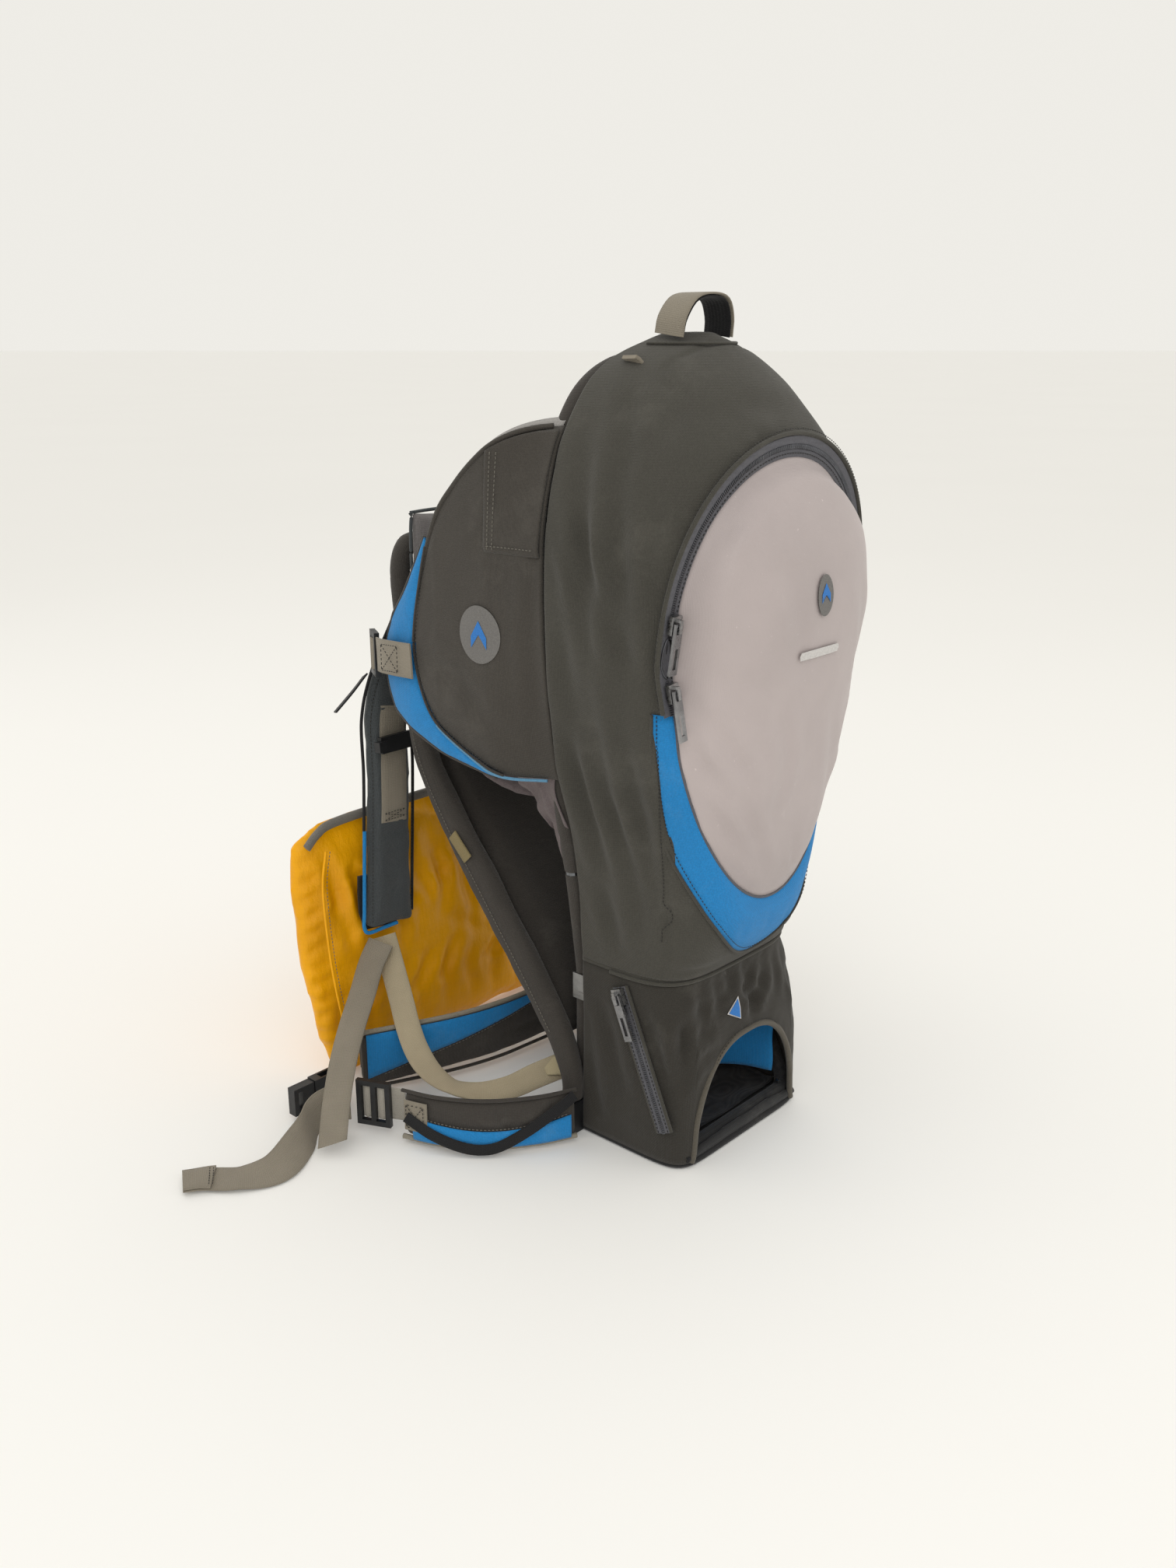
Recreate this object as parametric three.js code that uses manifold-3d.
// Baby carrier backpack: a framed child seat that is worn on the back.
//
// Millimetres. +Z is up, +Y is towards the wearer, -X is the wearer's left.
// The shapes below are drawn with Y = 0 on the front plane of the rear shell, and the
// whole carrier is then moved so that the origin is the centre of its base.

import * as THREE from 'three';
import { mergeVertices } from 'three/addons/utils/BufferGeometryUtils.js';
import Module from 'manifold-3d';

const wasm = await Module();
wasm.setup();

// ---------------------------------------------------------------- driving dimensions
const GAP = 0.4; // between pieces that touch
const BASE = { halfWidth: 97, depth: 118, floor: 4 };
const WAIST = 174; // height of the seam between the lower compartment and the shell
const TUBE = { strut: 8, hoop: 7, stand: 5.5, bar: 7 }; // tube radii
const STRUT_X = 100; // half the distance between the two back struts
const HOOP_X = 82; // the same for the rear hoop, at its foot
const STAND = { x: 84, hingeY: -38, hingeZ: 146, footY: -106, footZ: 13 };
const WEBBING = { width: 32, thick: 2.4 };
const OVAL = { z: 505, halfWidth: 131, below: 263, faceY: -118, crease: 470 };
OVAL.upperSlope = 0.153; // how far the face leans above the crease, per mm of height
OVAL.lowerSlope = 0.111; // and below it, the other way
const PAD = { width: 62, thick: 14 }; // shoulder pads
const HIP = { height: 62, nearHeight: 50, thick: 12 };
const RIGHT = 1;
const LEFT = -1;

const COLOURS = {
  shell: 0x4a4942,
  panel: 0xa09491,
  blue: 0x1e82c8,
  yellow: 0xe6a500,
  webbing: 0x8c8476,
  slate: 0x4b4e50,
  dark: 0x3a3733,
  lining: 0x9a9896,
  black: 0x17181a,
  tape: 0x55565b,
  metal: 0xb5b6b8,
  tube: 0x6f7276,
};

// -------------------------------------------------------------------------- materials
function material(colour, roughness = 0.9, metalness = 0) {
  return new THREE.MeshStandardMaterial({ color: COLOURS[colour], roughness, metalness });
}

const carrier = new THREE.Group();
carrier.position.y = BASE.depth / 2;

function add(name, geometry, finish) {
  const mesh = new THREE.Mesh(geometry, finish);
  mesh.name = name;
  carrier.add(mesh);
  return mesh;
}

// ---------------------------------------------------------------------------- helpers
const at = (x, y, z) => new THREE.Vector3(x, y, z);
const side = (s) => (s < 0 ? 'left' : 'right');

// Points given for the left side, mirrored when the right side is wanted.
const sided = (s, points) => points.map(([x, y, z]) => at(-s * x, y, z));

// Straight-line reading of a row table: rows are [key, value, value...].
function read(rows, key, column = 1) {
  const last = rows.length - 1;
  if (key <= rows[0][0]) return rows[0][column];
  for (let i = 0; i < last; i++) {
    const [low, high] = [rows[i], rows[i + 1]];
    if (key <= high[0]) {
      return low[column] + ((high[column] - low[column]) * (key - low[0])) / (high[0] - low[0]);
    }
  }
  return rows[last][column];
}

// A closed body from shared vertices, turned so that its faces point out.
function closedBody(vertices, faces) {
  let volume = 0;
  for (const [a, b, c] of faces) {
    volume += vertices[a].dot(new THREE.Vector3().crossVectors(vertices[b], vertices[c]));
  }
  const index = faces.flatMap(([a, b, c]) => (volume > 0 ? [a, b, c] : [a, c, b]));
  const geometry = new THREE.BufferGeometry().setFromPoints(vertices);
  geometry.setIndex(index);
  geometry.computeVertexNormals();
  return geometry;
}

// Skin over rings of equal length, closed by a flat fan at each end.
function loft(rings) {
  const n = rings[0].length;
  const last = (rings.length - 1) * n;
  const faces = [];
  for (let i = 0; i + 1 < rings.length; i++) {
    for (let j = 0; j < n; j++) {
      const a = i * n + j;
      const b = i * n + ((j + 1) % n);
      faces.push([a, b, b + n], [a, b + n, a + n]);
    }
  }
  for (let j = 1; j + 1 < n; j++) faces.push([0, j + 1, j], [last, last + j, last + j + 1]);
  return closedBody(rings.flat(), faces);
}

// A sheet of even thickness over surface(u, v), standing `lift` outside it.
// `inside` is any point that lies behind the sheet.
function plate(surface, inside, { across = 8, along = 8, lift = 0, thick = 5 }) {
  const inner = [];
  const outer = [];
  const step = 0.002;
  for (let i = 0; i <= across; i++) {
    for (let j = 0; j <= along; j++) {
      const u = Math.min(Math.max(i / across, step), 1 - step);
      const v = Math.min(Math.max(j / along, step), 1 - step);
      const du = surface(u + step, v).sub(surface(u - step, v));
      const dv = surface(u, v + step).sub(surface(u, v - step));
      const normal = du.cross(dv).normalize();
      const point = surface(i / across, j / along);
      if (normal.dot(point.clone().sub(inside)) < 0) normal.negate();
      inner.push(point.clone().addScaledVector(normal, lift));
      outer.push(point.clone().addScaledVector(normal, lift + thick));
    }
  }
  const cells = inner.length;
  const row = along + 1;
  const faces = [];
  const quad = (a, b, c, d) => faces.push([a, b, c], [a, c, d]);
  for (let i = 0; i < across; i++) {
    for (let j = 0; j < along; j++) {
      const a = i * row + j;
      quad(a, a + 1, a + row + 1, a + row);
      quad(cells + a, cells + a + row, cells + a + row + 1, cells + a + 1);
    }
  }
  for (let i = 0; i < across; i++) {
    const [a, b] = [i * row, (i + 1) * row];
    quad(a, b, b + cells, a + cells);
    quad(b + along, a + along, a + along + cells, b + along + cells);
  }
  for (let j = 0; j < along; j++) {
    const far = across * row + j;
    quad(j + 1, j, j + cells, j + 1 + cells);
    quad(far, far + 1, far + 1 + cells, far + cells);
  }
  return closedBody([...inner, ...outer], faces);
}

// A strap: a flat section carried along a smooth curve. `across` gives the direction
// of its width, as one vector or a list that is blended from end to end.
function band(points, across, { width = WEBBING.width, thick = WEBBING.thick, steps = 14,
  round = 0, taper = () => 1 } = {}) {
  const curve = new THREE.CatmullRomCurve3(points);
  const directions = Array.isArray(across) ? across : [across, across];
  const rings = [];
  for (let i = 0; i <= steps; i++) {
    const t = i / steps;
    const place = Math.min(t * (directions.length - 1), directions.length - 1.0001);
    const k = Math.floor(place);
    const wide = directions[k].clone().lerp(directions[k + 1], place - k);
    const tangent = curve.getTangentAt(t);
    wide.addScaledVector(tangent, -wide.dot(tangent)).normalize();
    const up = new THREE.Vector3().crossVectors(tangent, wide);
    const [w, h, r] = [(width * taper(t)) / 2, thick / 2, round];
    const corners = r > 0
      ? [[w, h - r], [w - r, h], [r - w, h], [-w, h - r], [-w, r - h], [r - w, -h], [w - r, -h], [w, r - h]]
      : [[w, h], [-w, h], [-w, -h], [w, -h]];
    const centre = curve.getPointAt(t);
    rings.push(corners.map(([a, b]) => centre.clone().addScaledVector(wide, a).addScaledVector(up, b)));
  }
  return loft(rings);
}

// A round tube along a path; its ends are closed.
function tube(path, radius, steps, sides = 10) {
  const ring = [];
  for (let i = 0; i < sides; i++) {
    const angle = (2 * Math.PI * i) / sides;
    ring.push(new THREE.Vector2(radius * Math.cos(angle), radius * Math.sin(angle)));
  }
  const options = { steps, bevelEnabled: false, extrudePath: path };
  return new THREE.ExtrudeGeometry(new THREE.Shape(ring), options);
}

// Straight runs joined by rounded corners, for bent tube.
function bentPath(points, radius) {
  const path = new THREE.CurvePath();
  let start = points[0];
  for (let i = 1; i + 1 < points.length; i++) {
    const corner = points[i];
    const before = corner.clone().sub(points[i - 1]).normalize();
    const after = points[i + 1].clone().sub(corner).normalize();
    const reach = Math.min(radius, corner.distanceTo(points[i - 1]) / 2.2);
    const enter = corner.clone().addScaledVector(before, -reach);
    const leave = corner.clone().addScaledVector(after, reach);
    path.add(new THREE.LineCurve3(start, enter));
    path.add(new THREE.QuadraticBezierCurve3(enter, corner, leave));
    start = leave;
  }
  path.add(new THREE.LineCurve3(start, points[points.length - 1]));
  return new THREE.CatmullRomCurve3(path.getSpacedPoints(points.length * 7));
}

function cylinder(radius, from, to, sides = 16) {
  const length = from.distanceTo(to);
  const geometry = new THREE.CylinderGeometry(radius, radius, length, sides);
  const turn = new THREE.Quaternion().setFromUnitVectors(at(0, 1, 0), to.clone().sub(from).normalize());
  geometry.applyQuaternion(turn);
  geometry.translate(...from.clone().add(to).divideScalar(2).toArray());
  return geometry;
}

function box(low, high) {
  const size = high.map((value, i) => value - low[i]);
  const centre = high.map((value, i) => (value + low[i]) / 2);
  return new THREE.BoxGeometry(...size).translate(...centre);
}

// Geometry to a manifold-3d solid, and back.
function solid(geometry) {
  const plain = geometry.clone();
  plain.deleteAttribute('normal');
  plain.deleteAttribute('uv');
  const merged = mergeVertices(plain, 1e-4);
  return new wasm.Manifold(new wasm.Mesh({
    numProp: 3,
    vertProperties: new Float32Array(merged.attributes.position.array),
    triVerts: new Uint32Array(merged.index.array),
  }));
}

function fromSolid(body) {
  const mesh = body.getMesh();
  const geometry = new THREE.BufferGeometry();
  geometry.setAttribute('position', new THREE.BufferAttribute(mesh.vertProperties, 3));
  geometry.setIndex(new THREE.BufferAttribute(mesh.triVerts, 1));
  geometry.computeVertexNormals();
  return geometry;
}

// ------------------------------------------------------------------- rear shell (bag)
// Height, half width at the front plane, depth at the middle, front plane, squareness.
const SHELL = [
  [WAIST + 2, 98, 106, 0, 4.5],
  [204, 101, 126, 0, 3.8],
  [242, 103, 138, 0, 3.2],
  [300, 112, 148, 0, 3.1],
  [360, 127, 157, 0, 3.1],
  [422, 138, 164, 0, 3.1],
  [505, 145, 175, 0, 3.1],
  [560, 144, 170, 0, 3],
  [602, 135, 154, 0, 2.8],
  [636, 124, 138, 0, 2.6],
  [660, 108, 122, 0, 2.4],
  [682, 92, 108, 0, 2.3],
  [700, 70, 92, 0, 2.2],
  [711, 46, 72, -6, 2.1],
  [719, 20, 52, -24, 2],
];

function shellPoint(angle, z, grow = 0) {
  const [width, depth] = [read(SHELL, z, 1) + grow, read(SHELL, z, 2) + grow];
  const [front, power] = [read(SHELL, z, 3), read(SHELL, z, 4)];
  const round = (value) => Math.sign(value) * Math.abs(value) ** (2 / power);
  return at(width * round(Math.cos(angle)), front - (depth + front) * round(Math.sin(angle)), z);
}

function rearY(x, z) {
  const power = read(SHELL, z, 4);
  const share = Math.min(Math.abs(x) / read(SHELL, z, 1), 0.999);
  return -read(SHELL, z, 2) * (1 - share ** power) ** (1 / power);
}

const shellRings = SHELL.map(([z]) => {
  const ring = [];
  for (let i = 0; i <= 22; i++) ring.push(shellPoint((Math.PI * i) / 22, z));
  return ring;
});

// The oval pocket sits on a face that leans two ways, with a crease between the zip sliders.
const upperY = (z) => OVAL.faceY - OVAL.upperSlope * (z - OVAL.z);
const lowerY = (z) => upperY(OVAL.crease) - OVAL.lowerSlope * (OVAL.crease - z);
const faceY = (z) => (z > OVAL.crease ? upperY(z) : lowerY(z));

function ovalPoint(angle, shrink = 0) {
  const reach = Math.sin(angle) > 0 ? OVAL.halfWidth : OVAL.below;
  return [(OVAL.halfWidth - shrink) * Math.cos(angle), OVAL.z + (reach - shrink) * Math.sin(angle)];
}

function behindFace(gap) {
  const low = OVAL.z - OVAL.below - 30;
  const high = OVAL.z + OVAL.halfWidth + 30;
  const outline = [high, OVAL.crease, low].map((z) => [faceY(z) - gap, z]);
  outline.push([-260, low], [-260, high]);
  return solid(loft([-200, 200].map((x) => outline.map(([y, z]) => at(x, y, z)))));
}

function ovalPrism(shrink) {
  const ring = [];
  for (let i = 0; i < 32; i++) ring.push(ovalPoint(Math.PI * (i / 16 - 1) + 1e-6, shrink));
  return solid(loft([-260, -60].map((y) => ring.map(([x, z]) => at(x, y, z)))));
}

const fullShell = solid(loft(shellRings));
add('rear_shell', fromSolid(fullShell.subtract(behindFace(0))), material('shell'));
const ovalFront = fullShell.intersect(behindFace(GAP)).intersect(ovalPrism(12));
add('oval_panel', fromSolid(ovalFront), material('panel', 0.6));

// Blue crescent round the lower end of the pocket.
const TRIM = { bottom: 190, tip: 430, innerWidth: 124, innerBelow: 258 };
function trimSurface(u, v) {
  const outerBelow = OVAL.z - TRIM.bottom;
  const drop = OVAL.z - TRIM.tip;
  const edge = (halfWidth, below) => {
    const start = Math.asin(drop / below);
    const angle = start + (Math.PI - 2 * start) * u;
    return [-halfWidth * Math.cos(angle), OVAL.z - below * Math.sin(angle)];
  };
  const [inX, inZ] = edge(TRIM.innerWidth, TRIM.innerBelow);
  const [outX, outZ] = edge(OVAL.halfWidth, outerBelow);
  const [x, z] = [inX + (outX - inX) * v, inZ + (outZ - inZ) * v];
  return at(x, rearY(x, z), z);
}
const trim = plate(trimSurface, at(0, -20, 350), { across: 26, along: 3, lift: GAP + 1.6, thick: 3 });
add('oval_trim', trim, material('blue'));

// Zip tape: from the lower left end, over the top, to the lower right end.
const ZIP = { radius: 4, lift: 2, thick: 2.4, width: 10, endDrop: 75 };
function zipPoint(angle, lift = ZIP.lift) {
  const [x, z] = ovalPoint(angle, ZIP.radius);
  return at(x, faceY(z) - lift, z);
}
const zipPath = [];
const zipAngles = [];
const zipEnd = Math.asin(ZIP.endDrop / OVAL.below);
for (let i = 0; i <= 24; i++) {
  const angle = Math.PI + zipEnd - ((Math.PI + 2 * zipEnd) * i) / 24;
  const point = zipPoint(angle);
  const lean = point.z > OVAL.crease ? -OVAL.upperSlope : OVAL.lowerSlope;
  zipAngles.push(at(Math.cos(angle), lean * Math.sin(angle), Math.sin(angle)));
  zipPath.push(point);
}
const zipTape = band(zipPath, zipAngles, { width: ZIP.width, thick: ZIP.thick, steps: 30 });
add('oval_zip_tape', zipTape, material('tape'));

// ------------------------------------------------------------------------ zip sliders
// A slider body with a bridge, and a pull that hangs from the bridge on its own hinge.
const SLIDER = { width: 11, height: 15, thick: 4.5, bridge: 4.6 };
const PULL = { width: 9, length: 40, thick: 2.2, axisY: -6.1, axisZ: 1.2 };

function sliderBody() {
  const { width, height, thick, bridge } = SLIDER;
  const body = solid(box([-width / 2, -thick, -height / 2], [width / 2, 0, height / 2]));
  const arch = solid(box([-1.6, -thick - bridge, -height / 2 + 2], [1.6, 0, height / 2 - 2]));
  const hole = solid(box([-4, PULL.axisY - 1.6, PULL.axisZ - 2.4], [4, PULL.axisY + 1.6, PULL.axisZ + 2.2]));
  return body.add(arch).subtract(hole);
}

function pullBody() {
  const { width, length, thick, axisY: y, axisZ } = PULL;
  const leaf = solid(box([-width / 2, y - thick / 2, -length], [width / 2, y + thick / 2, axisZ + 0.9]));
  const eye = solid(box([-2.4, y - 4, -6.4], [2.4, y + 4, axisZ - 0.9]));
  const slot = solid(box([-1.8, y - 4, -length + 5], [1.8, y + 4, -length + 22]));
  return leaf.subtract(eye).subtract(slot);
}

// Puts slider and pull at a point; `up` is the way the slider closes, `out` faces away.
function zipSlider(prefix, place, out, up) {
  const x = new THREE.Vector3().crossVectors(out.clone().negate(), up).normalize();
  const y = out.clone().negate().normalize();
  const z = new THREE.Vector3().crossVectors(x, y);
  const frame = new THREE.Matrix4().makeBasis(x, y, z).setPosition(place);
  const slider = add(`${prefix}_slider`, fromSolid(sliderBody()), material('metal', 0.35, 0.9));
  const pull = add(`${prefix}_pull`, fromSolid(pullBody()), material('metal', 0.35, 0.9));
  for (const mesh of [slider, pull]) mesh.applyMatrix4(frame);
}

const upperOut = at(0, -1, -OVAL.upperSlope).normalize();
const lowerOut = at(0, -1, OVAL.lowerSlope).normalize();
const sliderLift = ZIP.lift + ZIP.thick / 2 + GAP + 0.3;
zipSlider('upper_zip', zipPoint(Math.PI, sliderLift), upperOut, at(0, upperOut.z, -upperOut.y));
const LOWER_SLIDER_DROP = 56;
const lowerAngle = Math.PI + Math.asin(LOWER_SLIDER_DROP / OVAL.below);
const lowerPlace = zipPoint(lowerAngle, sliderLift);
const lowerUp = at(-0.1, lowerOut.z, -lowerOut.y);
lowerUp.addScaledVector(lowerOut, -lowerUp.dot(lowerOut)).normalize();
zipSlider('lower_zip', lowerPlace, lowerOut, lowerUp);

// ------------------------------------------------------------------ lower compartment
// Fabric walls at the sides and rear, open to the front, with an arched mouth behind.
// Height, half width, depth, squareness.
const BOOT = [
  [BASE.floor + GAP, BASE.halfWidth, BASE.depth, 9],
  [60, 96, 118, 9],
  [111, 95.5, 117, 7],
  [WAIST - 1, 97, 105, 4.5],
];
const WALL = 3;
function bootRing(z, inset) {
  const ring = [];
  const [w, d] = [read(BOOT, z, 1) - inset, read(BOOT, z, 2) - inset];
  const round = (value) => Math.sign(value) * Math.abs(value) ** (2 / read(BOOT, z, 3));
  for (let i = 0; i <= 18; i++) {
    const angle = (Math.PI * i) / 18;
    ring.push(at(w * round(Math.cos(angle)), -d * round(Math.sin(angle)), z));
  }
  const front = inset > 0 ? 20 : -GAP;
  ring.forEach((point) => { if (point.y > -1) point.y = front; });
  return ring;
}
const ARCH = { halfWidth: 74, top: 108, foot: 20 };
function archCutter() {
  const ring = [];
  for (let i = 0; i <= 16; i++) {
    const angle = (Math.PI * i) / 16;
    ring.push([ARCH.halfWidth * Math.cos(angle), ARCH.foot + (ARCH.top - ARCH.foot) * Math.sin(angle)]);
  }
  return solid(loft([-160, -60].map((y) => ring.map(([x, z]) => at(x, y, z)))));
}
const bootOuter = solid(loft(BOOT.map(([z]) => bootRing(z, 0))));
const bootInner = solid(loft([[-10], ...BOOT.slice(1, 3), [WAIST + 10]].map(([z]) => bootRing(z, WALL))));
add('boot_cover', fromSolid(bootOuter.subtract(bootInner).subtract(archCutter())), material('shell'));

const floorOutline = bootRing(BASE.floor, 0);
const floorPlate = loft([0, BASE.floor].map((z) => floorOutline.map((p) => at(p.x, p.y, z))));
add('boot_floor', floorPlate, material('black'));

// The blue lining hangs in a curve behind the mouth, clear of the stand's foot.
const STORAGE = [[-70, -98], [-59, -67], [-34, -42], [0, -33], [34, -42], [59, -67], [70, -98]];
const storagePath = STORAGE.map(([x, y]) => at(x, y, 92));
add('storage_wall', band(storagePath, at(0, 0, 1), { width: 116, thick: 3, steps: 18 }), material('blue'));

// Side zip on the left wall, beside the stand's leg.
const SIDE_ZIP = { top: at(0, -46, 164), foot: at(0, -100, 38), width: 12, x: -97 };
const sideLine = [SIDE_ZIP.top, SIDE_ZIP.foot].map((p) => at(SIDE_ZIP.x - 1.8, p.y, p.z));
const sideAlong = sideLine[1].clone().sub(sideLine[0]).normalize();
const sideAcross = at(0, sideAlong.z, -sideAlong.y);
const sideTape = band([sideLine[0], sideLine[0].clone().lerp(sideLine[1], 0.5), sideLine[1]], sideAcross,
  { width: SIDE_ZIP.width, thick: 2, steps: 2 });
add('side_zip_tape', sideTape, material('tape'));
const sideSlider = sideLine[0].clone().addScaledVector(sideAlong, 8);
sideSlider.x -= 1 + GAP + 0.3;
zipSlider('side_zip', sideSlider, at(-1, 0, 0), sideAlong.clone().negate());

// ------------------------------------------------------------------------ metal frame
// Back struts: an inverted U that leans towards the wearer and follows the back.
const STRUT = [[10, 7], [10, 55], [28, 98], [60, 142], [118, 215], [168, 280], [198, 332],
  [214, 392], [222, 460], [228, 531]];
const strutSide = (x) => STRUT.map(([y, z]) => at(x, y, z));
const strutPath = bentPath([...strutSide(-STRUT_X), ...strutSide(STRUT_X).reverse()], 26);
const backFrame = solid(tube(strutPath, TUBE.strut, 84));
add('back_frame', fromSolid(backFrame), material('tube', 0.4, 0.7));

// Rear hoop: an inverted U that holds the shell up.
const HOOP = [[HOOP_X, 7], [HOOP_X, 150], [90, 215], [108, 320], [125, 430], [130, 520], [122, 600],
  [92, 662], [45, 690]];
const hoopPoints = [...HOOP.map(([x, z]) => at(-x, 10, z)), ...HOOP.map(([x, z]) => at(x, 10, z)).reverse()];
add('rear_hoop', tube(bentPath(hoopPoints, 24), TUBE.hoop, 72), material('tube', 0.4, 0.7));

// Cross bars, between the two hoop legs and between the two base joints.
add('seat_bar', cylinder(6, at(-86, 10, 250), at(86, 10, 250), 12), material('tube', 0.4, 0.7));
add('base_bar', cylinder(TUBE.bar, at(-71, 11, 18), at(71, 11, 18), 12), material('tube', 0.4, 0.7));

for (const s of [LEFT, RIGHT]) {
  const [near, far] = s < 0 ? [-111, -71.6] : [71.6, 111];
  const block = solid(box([near, -1 + GAP * 2, 0.6], [far, 22, 32]));
  const strutBore = solid(cylinder(TUBE.strut + GAP, at(s * STRUT_X, 10, 6), at(s * STRUT_X, 10, 60)));
  const hoopBore = solid(cylinder(TUBE.hoop + GAP, at(s * HOOP_X, 10, 6), at(s * HOOP_X, 10, 60)));
  const joint = block.subtract(strutBore).subtract(hoopBore);
  add(`frame_joint_${side(s)}`, fromSolid(joint), material('black', 0.6));
}

// Kick stand: a U that swings on two pins inside the lower compartment.
const standLeg = at(0, STAND.footY - STAND.hingeY, STAND.footZ - STAND.hingeZ).normalize();
const standTop = (x) => at(x, STAND.hingeY, STAND.hingeZ).addScaledVector(standLeg, -8);
const standPath = bentPath([standTop(-STAND.x), at(-STAND.x, STAND.footY, STAND.footZ),
  at(STAND.x, STAND.footY, STAND.footZ), standTop(STAND.x)], 22);
const PIN = 2.6;
let stand = solid(tube(standPath, TUBE.stand, 44));
for (const s of [LEFT, RIGHT]) {
  const [holeStart, holeEnd] = [70, 96].map((x) => at(s * x, STAND.hingeY, STAND.hingeZ));
  stand = stand.subtract(solid(cylinder(PIN + GAP, holeStart, holeEnd)));
}
add('kick_stand', fromSolid(stand), material('tube', 0.4, 0.7));
for (const s of [LEFT, RIGHT]) {
  const [inner, outer] = [s * 90.2, s * 92.2];
  const low = [Math.min(inner, outer), STAND.hingeY - 10, STAND.hingeZ - 14];
  const high = [Math.max(inner, outer), 16, STAND.hingeZ + 11];
  const pin = cylinder(PIN, at(s * 76, STAND.hingeY, STAND.hingeZ), at(s * 92, STAND.hingeY, STAND.hingeZ));
  const bracket = solid(box(low, high)).add(solid(pin));
  add(`stand_bracket_${side(s)}`, fromSolid(bracket), material('metal', 0.4, 0.9));
}

// ----------------------------------------------------------------- wearer's back panel
const panelRows = [[31, 80], [43, 108], [65, 142], ...STRUT.slice(4, -1), [225, 512]];
const backPath = panelRows.map(([y, z]) => at(0, y, z));
add('back_panel', band(backPath, at(1, 0, 0), { width: 180, thick: 20, steps: 16, round: 6 }), material('dark'));
add('face_pad', band([at(0, 206.5, 490), at(0, 206.5, 525), at(0, 206.5, 561)], at(1, 0, 0),
  { width: 206, thick: 10, steps: 2, round: 3 }), material('panel'));

// --------------------------------------------------------------------- child's cockpit
const liningWidth = [[345, 100], [430, 116], [520, 122], [600, 112], [650, 86], [682, 40]];
const liningRings = liningWidth.map(([z, w]) => [[-w, 19], [w, 19], [w + 3, 23], [w, 27], [-w, 27], [-w - 3, 23]]
  .map(([x, y]) => at(x, y, z)));
add('cockpit_lining', loft(liningRings), material('lining'));

// Seat: a hammock from the lining down and up to the back panel, narrow at the crotch.
const SEAT = [[36, 430], [38, 365], [58, 320], [98, 303], [138, 318], [162, 348], [178, 378]];
const seatTaper = (t) => 1 - 0.45 * Math.sin(Math.PI * Math.min(1.25 * t, 1)) ** 2;
add('child_seat', band(SEAT.map(([y, z]) => at(0, y, z)), at(1, 0, 0),
  { width: 176, thick: 10, steps: 16, round: 3, taper: seatTaper }), material('panel'));

for (const s of [LEFT, RIGHT]) {
  const route = sided(s, [[-38, 30.5, 612], [-37, 32, 560], [-32, 41, 490], [-24, 53, 430], [-18, 58, 414]]);
  add(`harness_strap_${side(s)}`, band(route, at(1, 0, 0), { width: 26, steps: 10 }), material('dark'));
}
// The chest buckle, with the crotch strap that is sewn to it.
const chest = solid(box([-24, 52, 376], [24, 64, 411])).subtract(solid(box([-9, 58, 384], [9, 70, 402])));
const crotch = band([at(0, 70, 328), at(0, 65, 350), at(0, 60, 378)], at(1, 0, 0), { width: 26, steps: 6 });
add('harness_buckle', fromSolid(chest.add(solid(crotch))), material('black', 0.5));

// Side wings. Their outer face leaves the shell's edge and curves in to the front.
const WING_BULGE = [[0, 146], [60, 152], [120, 153], [160, 150], [190, 143], [210, 133], [222, 126]];
function wingPoint(s, y, z) {
  const blend = THREE.MathUtils.smoothstep(y, 0, 60);
  const x = (read(SHELL, z, 1) + 2) * (1 - blend) + read(WING_BULGE, y) * blend;
  return at(s * x, y, z);
}
const DARK_TOP = [[1, 648], [24, 645], [44, 637], [73, 617], [95, 597], [116, 573], [134, 535], [146, 495],
  [150, 452]];
const DARK_FOOT = [[1, 353], [45, 353], [84, 367], [124, 388], [143, 414], [149, 446]];
const FRONT_INNER = [[129, 548], [138, 520], [149, 478], [152, 449], [143, 414], [124, 388], [84, 367],
  [45, 353]];
const FRONT_OUTER = [[133, 551], [162, 505], [197, 467], [221, 435], [216, 408], [185, 384], [120, 362],
  [52, 351]];
const flat = (rows) => new THREE.SplineCurve(rows.map(([y, z]) => new THREE.Vector2(y, z)));

for (const s of [LEFT, RIGHT]) {
  const behind = at(0, 90, 480);
  const panel = (u, v) => {
    const y = 1 + 148 * u;
    const z = read(DARK_FOOT, y) * (1 - v) + read(DARK_TOP, y) * v;
    return wingPoint(s, y, z);
  };
  add(`wing_${side(s)}`, plate(panel, behind, { across: 12, along: 8, lift: -7, thick: 7 }), material('dark'));
  const [inner, outer] = [flat(FRONT_INNER), flat(FRONT_OUTER)];
  const crescent = (u, v) => {
    const [a, b] = [inner.getPointAt(u), outer.getPointAt(u)];
    const w = 0.06 + 0.94 * v;
    return wingPoint(s, a.x + (b.x - a.x) * w + 0.8, a.y + (b.y - a.y) * w);
  };
  add(`wing_trim_${side(s)}`, plate(crescent, behind, { across: 20, along: 4, lift: -6, thick: 5.5 }),
    material('blue'));
}

// -------------------------------------------------------------------- shoulder harness
const PAD_ROUTE = [[-50, 243, 486], [-64, 250, 452], [-84, 256, 410], [-100, 256, 365], [-106, 250, 310],
  [-112, 246, 260], [-118, 243, 205], [-124, 240, 150]];
const padAcross = at(1, 0, 0);
const webbingOff = -(PAD.thick / 2 + WEBBING.thick / 2 + GAP);

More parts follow.
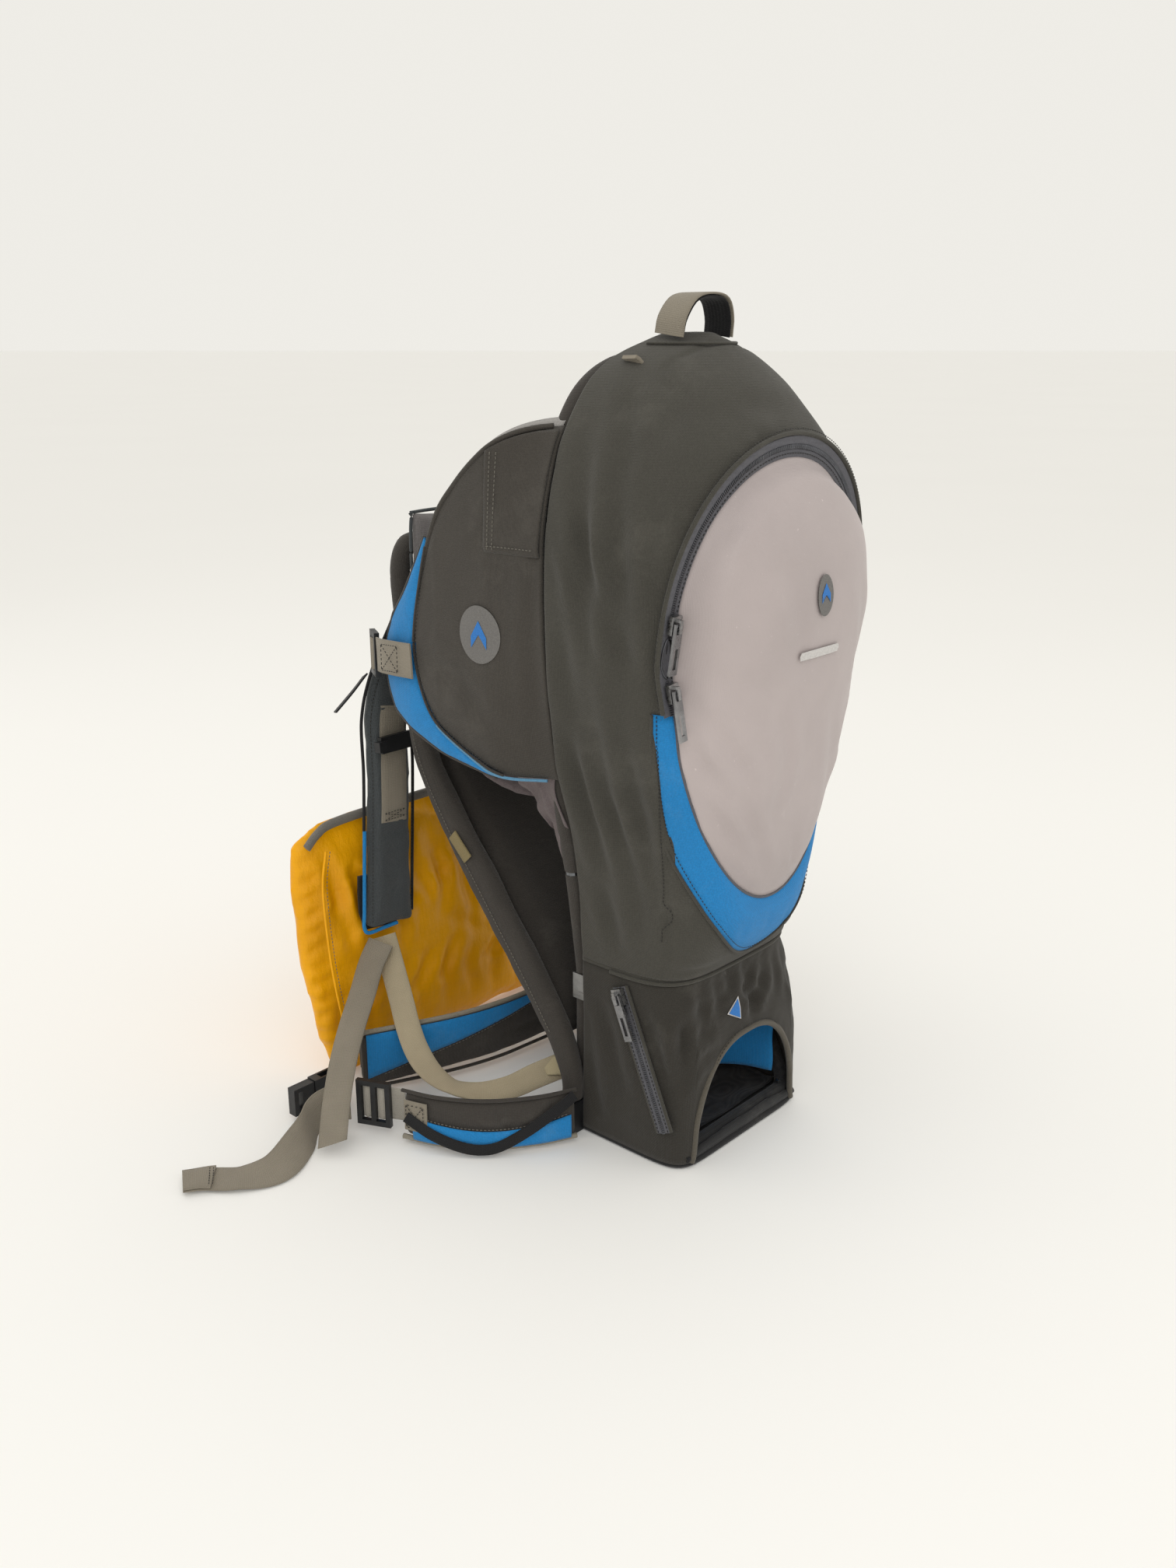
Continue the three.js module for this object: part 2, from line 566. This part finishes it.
for (const s of [LEFT, RIGHT]) {
  const pad = band(sided(s, PAD_ROUTE), padAcross, { width: PAD.width, thick: PAD.thick, steps: 18, round: 5 });
  add(`shoulder_pad_${side(s)}`, pad, material('slate'));
  const curve = new THREE.CatmullRomCurve3(sided(s, PAD_ROUTE));
  const route = [0.38, 0.44, 0.5, 0.56, 0.62, 0.68].map((t) => {
    const tangent = curve.getTangentAt(t);
    const out = new THREE.Vector3().crossVectors(tangent, padAcross).normalize();
    if (out.y < 0) out.negate();
    return curve.getPointAt(t).addScaledVector(out, webbingOff);
  });
  add(`shoulder_webbing_${side(s)}`, band(route, padAcross, { steps: 10 }), material('webbing'));

  const slider = solid(box([-20, -5.6, -8], [20, 0, 8]));
  const [near, far] = [Math.min(s * 14, s * 27), Math.max(s * 14, s * 27)];
  const hook = solid(box([near, -11, -5], [far, -3, 5]));
  const mesh = add(`sternum_slider_${side(s)}`, fromSolid(slider.add(hook)), material('black', 0.5));
  const middle = curve.getPointAt(0.46);
  mesh.rotation.x = -0.12;
  mesh.position.set(middle.x, middle.y + webbingOff - WEBBING.thick / 2 - 1.6, middle.z);
}

// Load lifters: webbing from the front of each wing to a ladder lock.
const LOCK = { height: 42, length: 24, thick: 5, bar: 5 };
function ladderLock({ height, length, thick, bar }) {
  const frame = solid(box([-length / 2, -thick / 2, -height / 2], [length / 2, thick / 2, height / 2]));
  const slot = (length - 3 * bar) / 2;
  const window = (x) => solid(box([x, -thick, -height / 2 + bar], [x + slot, thick, height / 2 - bar]));
  return frame.subtract(window(-length / 2 + bar)).subtract(window(bar / 2));
}

for (const s of [LEFT, RIGHT]) {
  const route = sided(s, [[-156.5, 150, 440], [-153, 178, 438], [-144.5, 205, 435], [-134, 224, 432]]);
  add(`lifter_strap_${side(s)}`, band(route, at(0, 0, 1), { steps: 8 }), material('webbing'));
  const lock = add(`lifter_lock_${side(s)}`, fromSolid(ladderLock(LOCK)), material('black', 0.5));
  lock.rotation.z = s < 0 ? THREE.MathUtils.degToRad(60) : THREE.MathUtils.degToRad(120);
  lock.position.set(s * 126, 237, 430);
}
const lifterTail = [at(-132, 246, 408), at(-148, 247, 394), at(-170, 248, 377)];
add('lifter_tail', band(lifterTail, at(0.7, 0.7, 0), { width: 20, thick: 2, steps: 5 }), material('webbing'));

// Load straps run from each pad's lower end to the foot of the frame. The left one is slack.
const LOAD = {
  left: [[-133, 236, 142], [-141, 214, 114], [-149, 194, 90], [-157, 176, 70], [-164, 156, 54], [-169, 132, 43],
    [-167, 106, 36], [-152, 82, 33], [-130, 64, 35], [-108, 52, 42], [-93, 40, 49], [-84, 27, 57]],
  right: [[124, 236, 142], [122, 206, 118], [114, 160, 100], [104, 110, 90], [96, 66, 80], [88, 34, 64]],
};
const LOAD_TWIST = [[0.67, -0.74, 0], [0.67, -0.74, 0.1], [0.8, 0.1, 0.5], [0.9, 0.5, 0], [0.6, 0.5, 0.6],
  [0.2, 0.2, 1]];
add('load_strap_left', band(LOAD.left.map((p) => at(...p)), LOAD_TWIST.map((p) => at(...p)),
  { width: 24, steps: 24 }), material('webbing'));
add('load_strap_right', band(LOAD.right.map((p) => at(...p)), [at(1, 0, 0), at(1, 0, 0), at(0.3, 0, 1)],
  { width: 24, steps: 12 }), material('webbing'));
const TAILS = {
  left: [[-142, 230, 140], [-159, 226, 123], [-183, 212, 103], [-210, 196, 84], [-240, 175, 62], [-265, 155, 38],
    [-286, 137, 10]],
  right: [[153, 230, 142], [155, 228, 105], [156, 227, 60], [157, 226, 12]],
};
add('strap_tail_left', band(TAILS.left.map((p) => at(...p)), at(0.67, -0.74, 0), { width: 26, steps: 12 }),
  material('webbing'));
add('strap_tail_right', band(TAILS.right.map((p) => at(...p)), at(1, 0, 0), { width: 26, steps: 6 }),
  material('webbing'));

// ---------------------------------------------------------------------------- hip belt
const HIP_ROUTE = {
  left: [[-114, -6, 31], [-148, 13, 30], [-183, 42, 30], [-207, 78, 30], [-219, 112, 30]],
  right: [[116, -4, 38], [131, 40, 38], [126, 86, 38], [96, 124, 38], [45, 144, 38], [-8, 150, 38], [-57, 155, 38],
    [-105, 168, 38], [-156, 192, 37], [-192, 211, 36]],
};
for (const [name, route] of Object.entries(HIP_ROUTE)) {
  const [width, steps] = name === 'left' ? [HIP.nearHeight, 12] : [HIP.height, 24];
  add(`hip_wing_${name}`, band(route.map((p) => at(...p)), at(0, 0, 1),
    { width, thick: HIP.thick, steps, round: 4 }), material('dark'));
}

// Ladder lock at the end of the left wing, and the waist webbing through it.
const hipLock = add('hip_lock', fromSolid(ladderLock({ height: 46, length: 34, thick: 5, bar: 5 })),
  material('black', 0.5));
hipLock.position.set(-230, 143, 31);
hipLock.rotation.z = THREE.MathUtils.degToRad(115);
const waistRoute = [[-242, 164, 28], [-254, 180, 26], [-272, 181, 20], [-298, 166, 13], [-336, 152, 8],
  [-366, 168, 5], [-384, 188, 4], [-402, 200, 4]].map((p) => at(...p));
add('waist_webbing', band(waistRoute, [at(0.1, 0.2, 1), at(0.2, 0.5, 1), at(-0.3, 0.8, 0.5), at(0.4, 0.9, 0.05),
  at(-0.5, 0.85, 0)], { steps: 20 }), material('webbing'));

// Side-release buckle on the right wing's end: socket, plug and the plug's two prongs.
const BUCKLE = { y: 217, z: 20, mouth: -246, end: -212, half: 15 };
const socketBox = solid(box([BUCKLE.mouth, BUCKLE.y - 6, BUCKLE.z - BUCKLE.half],
  [BUCKLE.end, BUCKLE.y + 6, BUCKLE.z + BUCKLE.half]));
const socketRoom = solid(box([BUCKLE.mouth - 1, BUCKLE.y - 3.6, BUCKLE.z - BUCKLE.half + 2.4],
  [BUCKLE.end - 8, BUCKLE.y + 3.6, BUCKLE.z + BUCKLE.half - 2.4]));
const windows = solid(box([BUCKLE.mouth + 9, BUCKLE.y - 3.6, BUCKLE.z - 20], [BUCKLE.end - 11, BUCKLE.y + 3.6,
  BUCKLE.z + 20]));
add('buckle_socket', fromSolid(socketBox.subtract(socketRoom).subtract(windows)), material('black', 0.5));
const plugHead = solid(box([BUCKLE.mouth - 24, BUCKLE.y - 5, BUCKLE.z - 14], [BUCKLE.mouth - GAP, BUCKLE.y + 5,
  BUCKLE.z + 14]));
const plugSlot = solid(box([BUCKLE.mouth - 19, BUCKLE.y - 8, BUCKLE.z - 10], [BUCKLE.mouth - 14, BUCKLE.y + 8,
  BUCKLE.z + 10]));
const plugTongue = solid(box([BUCKLE.mouth - 1, BUCKLE.y - 2.4, BUCKLE.z - 2.2], [BUCKLE.end - 12, BUCKLE.y + 2.4,
  BUCKLE.z + 2.2]));
add('buckle_plug', fromSolid(plugHead.subtract(plugSlot).add(plugTongue)), material('black', 0.5));
for (const [name, s] of [['upper', 1], ['lower', -1]]) {
  const arm = box([BUCKLE.mouth + 0.2, BUCKLE.y - 2.4, BUCKLE.z + s * 9.5 - 1.4],
    [BUCKLE.end - 10, BUCKLE.y + 2.4, BUCKLE.z + s * 9.5 + 1.4]);
  add(`buckle_prong_${name}`, arm, material('black', 0.5));
}

// --------------------------------------------------------------------- accessory pouch
// Height, half width, thickness: a soft flat bag that hangs from the shoulder pads.
const POUCH = [[1, 176, 16], [16, 187, 26], [50, 197, 34], [120, 206, 37], [200, 208, 34], [240, 204, 26],
  [255, 190, 16], [263, 168, 8]];
const pouchRings = POUCH.map(([z, w, t]) => {
  const y = 240 + 0.09 * z + (37 - t) * 0.25;
  const [c, k] = [w - 12, t / 2];
  return [[-w, y + k], [-c, y], [-c / 2, y - 1], [c / 2, y - 1], [c, y], [w, y + k], [c, y + t], [-c, y + t]]
    .map(([x, depth]) => at(x, depth, z));
});
let pouch = solid(loft(pouchRings));
for (const s of [LEFT, RIGHT]) {
  const loop = sided(s, [[-110, 268, 256], [-109, 267, 290], [-106, 268, 325], [-102, 271, 348]]);
  pouch = pouch.add(solid(band(loop, at(1, 0, 0), { width: 20, thick: 2, steps: 6 })));
}
add('pouch', fromSolid(pouch), material('yellow', 0.4));

// --------------------------------------------------------------------------- haul loop
const haul = [[-33, -38, 716], [-31, -40, 731], [-20, -43, 745], [0, -44, 748.5], [20, -43, 745], [31, -40, 731],
  [33, -38, 716]].map((p) => at(...p));
add('haul_loop', band(haul, at(0, 1, 0), { width: 30, thick: 2.6, steps: 20 }), material('webbing'));

export default carrier;
